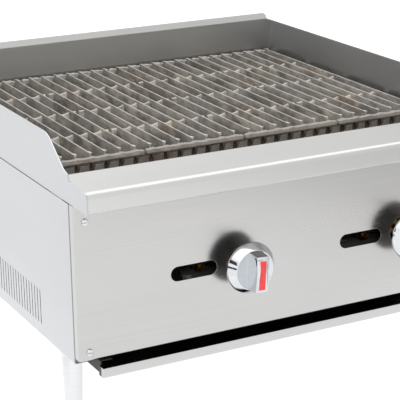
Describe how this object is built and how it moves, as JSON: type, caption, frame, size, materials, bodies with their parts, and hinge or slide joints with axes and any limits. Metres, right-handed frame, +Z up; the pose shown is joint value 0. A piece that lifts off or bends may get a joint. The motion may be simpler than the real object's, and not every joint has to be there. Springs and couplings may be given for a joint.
{
  "type": "charbroiler grill",
  "caption": "Countertop gas charbroiler: stainless casing with splash guards, lift-off cast grates over radiants and tube burners, turning knobs, sliding drip tray and levelling feet.",
  "frame": {"origin": "on the ground under the middle of the overall box, which runs from the knobs' faces to the gas inlet's end", "axes": "+Z up, -Y towards the controls, +X to the right seen from the front"},
  "size_m": [0.61, 0.7, 0.3994],
  "materials": {
    "stainless": "brushed stainless sheet",
    "liner": "dull aluminised steel",
    "cast_iron": "bare cast iron, seasoned",
    "radiant": "heat-darkened iron",
    "burner": "heat-tinted steel tube",
    "pipe": "black gas pipe",
    "brass": "machined brass",
    "pilot": "drawn tube",
    "leg": "satin chrome",
    "foot": "plated steel",
    "knob": "satin chrome casting",
    "insert": "red gloss",
    "screw": "plated steel"
  },
  "bodies": {
    "body": {"front_panel": "stainless", "front_ledge": "stainless", "splash_guard_left": "stainless", "splash_guard_right": "stainless", "side_panel_left": "stainless", "side_panel_right": "stainless", "back_splash": "stainless", "rear_panel": "stainless", "firebox_front_wall": "liner", "firebox_rear_wall": "liner", "firebox_liner_left": "liner", "firebox_liner_right": "liner", "front_grate_rest": "liner", "rear_grate_rest": "liner", "front_radiant_rest": "liner", "rear_radiant_rest": "liner", "rear_burner_support": "liner", "tray_runner_left": "liner", "tray_runner_right": "liner", "base_frame": "liner", "radiant_far_left": "radiant", "radiant_mid_left": "radiant", "radiant_mid_right": "radiant", "radiant_far_right": "radiant", "burner_left": "burner", "burner_right": "burner", "manifold_pipe": "pipe", "supply_elbow": "pipe", "supply_pipe": "pipe", "gas_valve_left": "brass", "gas_valve_right": "brass", "pilot_valve_left": "brass", "pilot_valve_right": "brass", "pilot_tube_left": "pilot", "pilot_tube_right": "pilot", "pilot_burner_left": "pilot", "pilot_burner_right": "pilot", "leg_front_left": "leg", "leg_front_right": "leg", "leg_rear_left": "leg", "leg_rear_right": "leg", "casing_screws": "screw"},
    "left_knob": {"knob_left": "knob", "knob_insert_left": "insert", "valve_stem_left": "brass"},
    "right_knob": {"knob_right": "knob", "knob_insert_right": "insert", "valve_stem_right": "brass"},
    "left_shutter": {"air_shutter_left": "burner"},
    "right_shutter": {"air_shutter_right": "burner"},
    "tray": {"drip_tray": "stainless"},
    "far_left_grate": {"grate_far_left": "cast_iron"},
    "mid_left_grate": {"grate_mid_left": "cast_iron"},
    "mid_right_grate": {"grate_mid_right": "cast_iron"},
    "far_right_grate": {"grate_far_right": "cast_iron"},
    "front_left_foot": {"foot_front_left": "foot"},
    "front_right_foot": {"foot_front_right": "foot"},
    "rear_left_foot": {"foot_rear_left": "foot"},
    "rear_right_foot": {"foot_rear_right": "foot"}
  },
  "joints": [
    {"name": "left_knob_turn", "type": "hinge", "parent": "body", "child": "left_knob", "pos_m": [-0.0713, -0.32, 0.2001], "axis": [0, -1, 0], "range_deg": [0, 90]},
    {"name": "right_knob_turn", "type": "hinge", "parent": "body", "child": "right_knob", "pos_m": [0.1845, -0.32, 0.2001], "axis": [0, -1, 0], "range_deg": [0, 90]},
    {"name": "left_shutter_turn", "type": "hinge", "parent": "body", "child": "left_shutter", "pos_m": [-0.0713, -0.202, 0.2001], "axis": [0, 1, 0], "range_deg": [-30, 30]},
    {"name": "right_shutter_turn", "type": "hinge", "parent": "body", "child": "right_shutter", "pos_m": [0.1845, -0.202, 0.2001], "axis": [0, 1, 0], "range_deg": [-30, 30]},
    {"name": "tray_slide", "type": "slide", "parent": "body", "child": "tray", "axis": [0, -1, 0], "range_m": [0, 0.45]},
    {"name": "far_left_grate_lift", "type": "slide", "parent": "body", "child": "far_left_grate", "axis": [0, 0, 1], "range_m": [0, 0.12]},
    {"name": "mid_left_grate_lift", "type": "slide", "parent": "body", "child": "mid_left_grate", "axis": [0, 0, 1], "range_m": [0, 0.12]},
    {"name": "mid_right_grate_lift", "type": "slide", "parent": "body", "child": "mid_right_grate", "axis": [0, 0, 1], "range_m": [0, 0.12]},
    {"name": "far_right_grate_lift", "type": "slide", "parent": "body", "child": "far_right_grate", "axis": [0, 0, 1], "range_m": [0, 0.12]},
    {"name": "front_left_foot_adjust", "type": "slide", "parent": "body", "child": "front_left_foot", "axis": [0, 0, -1], "range_m": [0, 0.02]},
    {"name": "front_right_foot_adjust", "type": "slide", "parent": "body", "child": "front_right_foot", "axis": [0, 0, -1], "range_m": [0, 0.02]},
    {"name": "rear_left_foot_adjust", "type": "slide", "parent": "body", "child": "rear_left_foot", "axis": [0, 0, -1], "range_m": [0, 0.02]},
    {"name": "rear_right_foot_adjust", "type": "slide", "parent": "body", "child": "rear_right_foot", "axis": [0, 0, -1], "range_m": [0, 0.02]}
  ]
}
